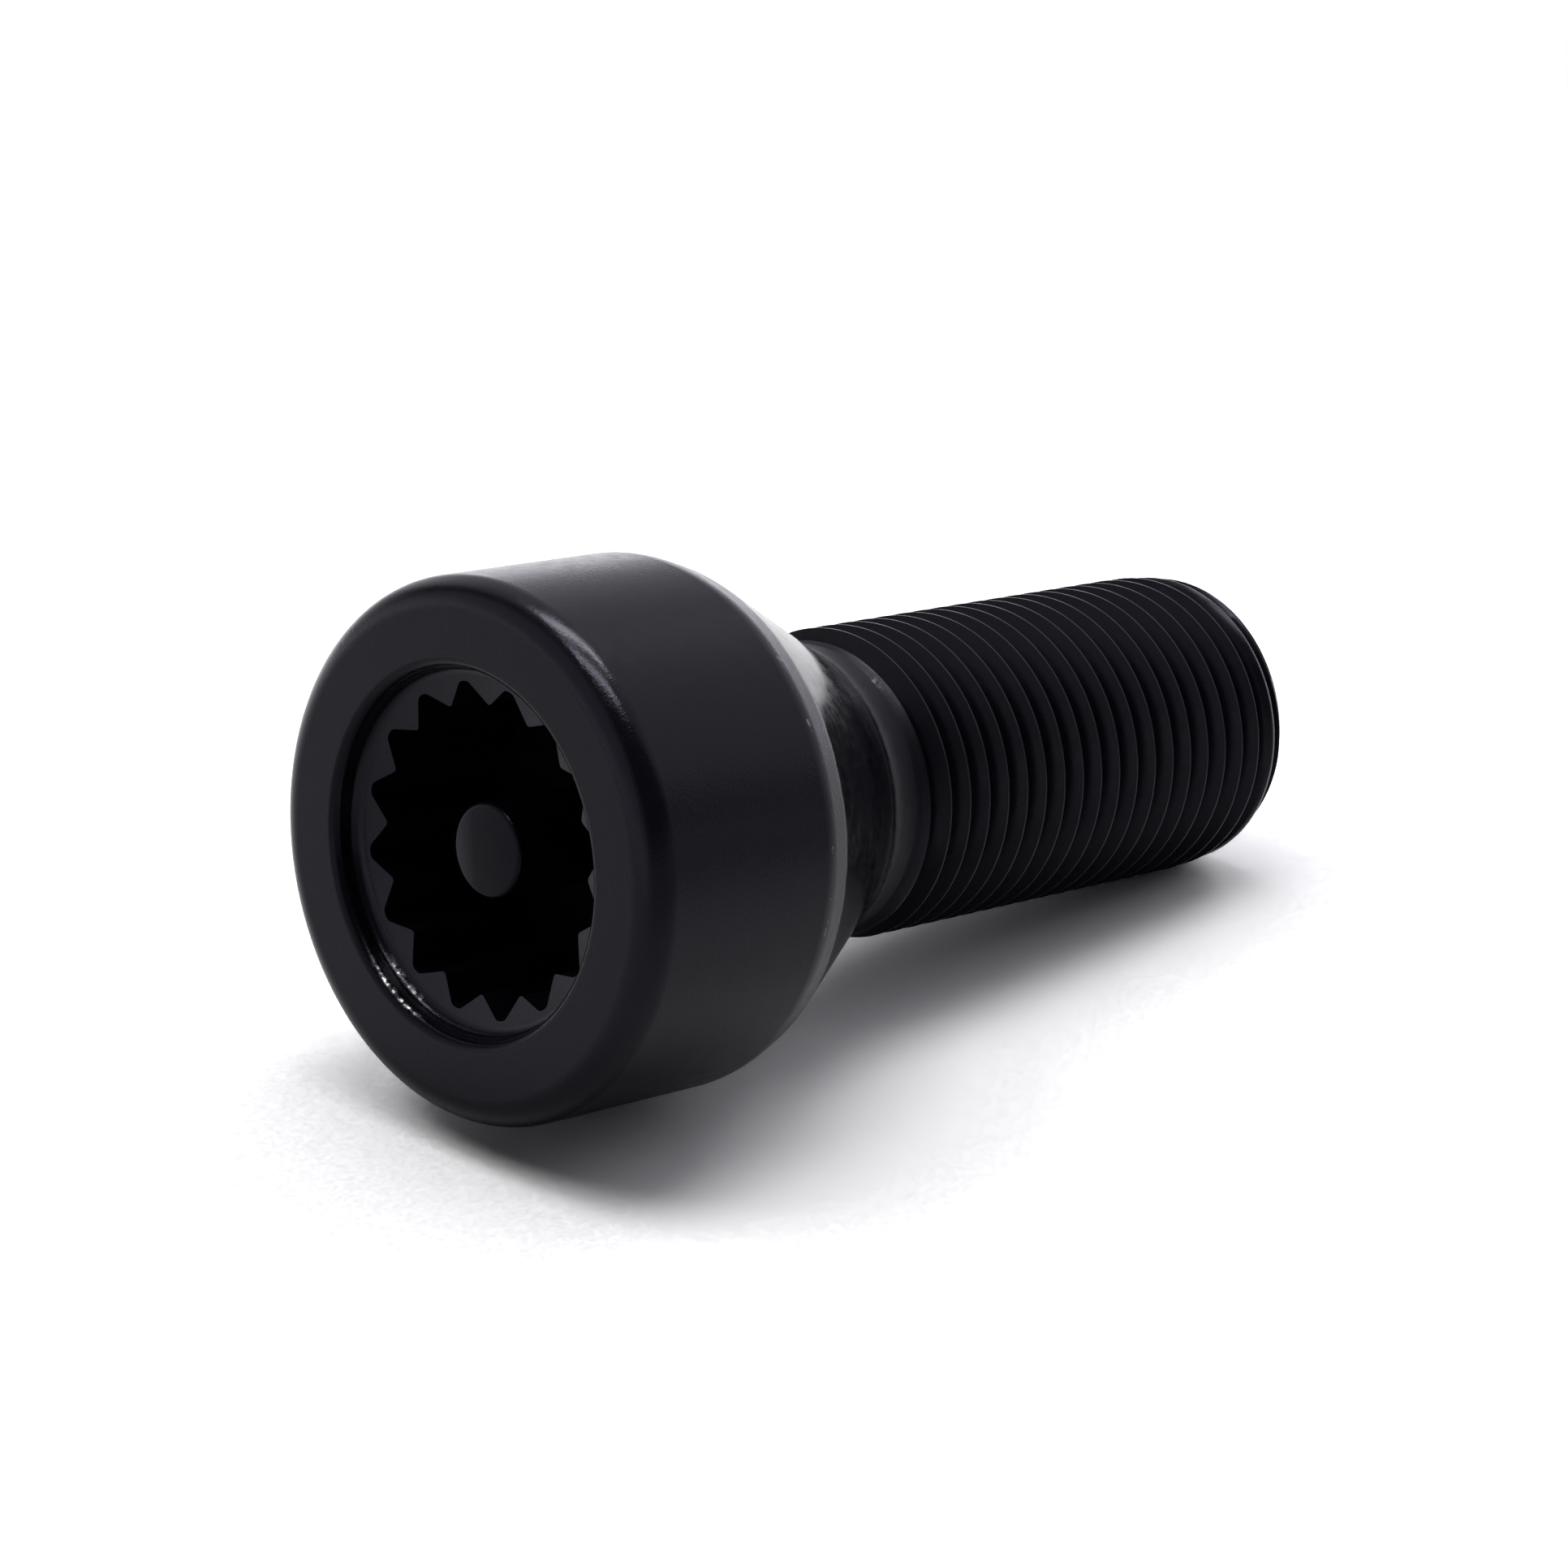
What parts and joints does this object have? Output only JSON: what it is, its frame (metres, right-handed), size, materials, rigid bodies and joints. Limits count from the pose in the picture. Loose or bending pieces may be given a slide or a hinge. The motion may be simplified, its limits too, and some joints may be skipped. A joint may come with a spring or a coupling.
{
  "type": "wheel bolt",
  "caption": "Locking wheel bolt: round head with a recessed spline socket and a standing centre pin, a conical seat behind the head and a threaded shank.",
  "frame": {"origin": "centre of the head's face, in the face's plane", "axes": "+Z along the bolt's axis from the head to the tip of the thread, +X through the tip of one socket tooth"},
  "size_m": [0.0232, 0.0232, 0.0468],
  "materials": {
    "black_coating": "satin"
  },
  "bodies": {
    "root": {"wheel_bolt": "black_coating"}
  },
  "joints": []
}
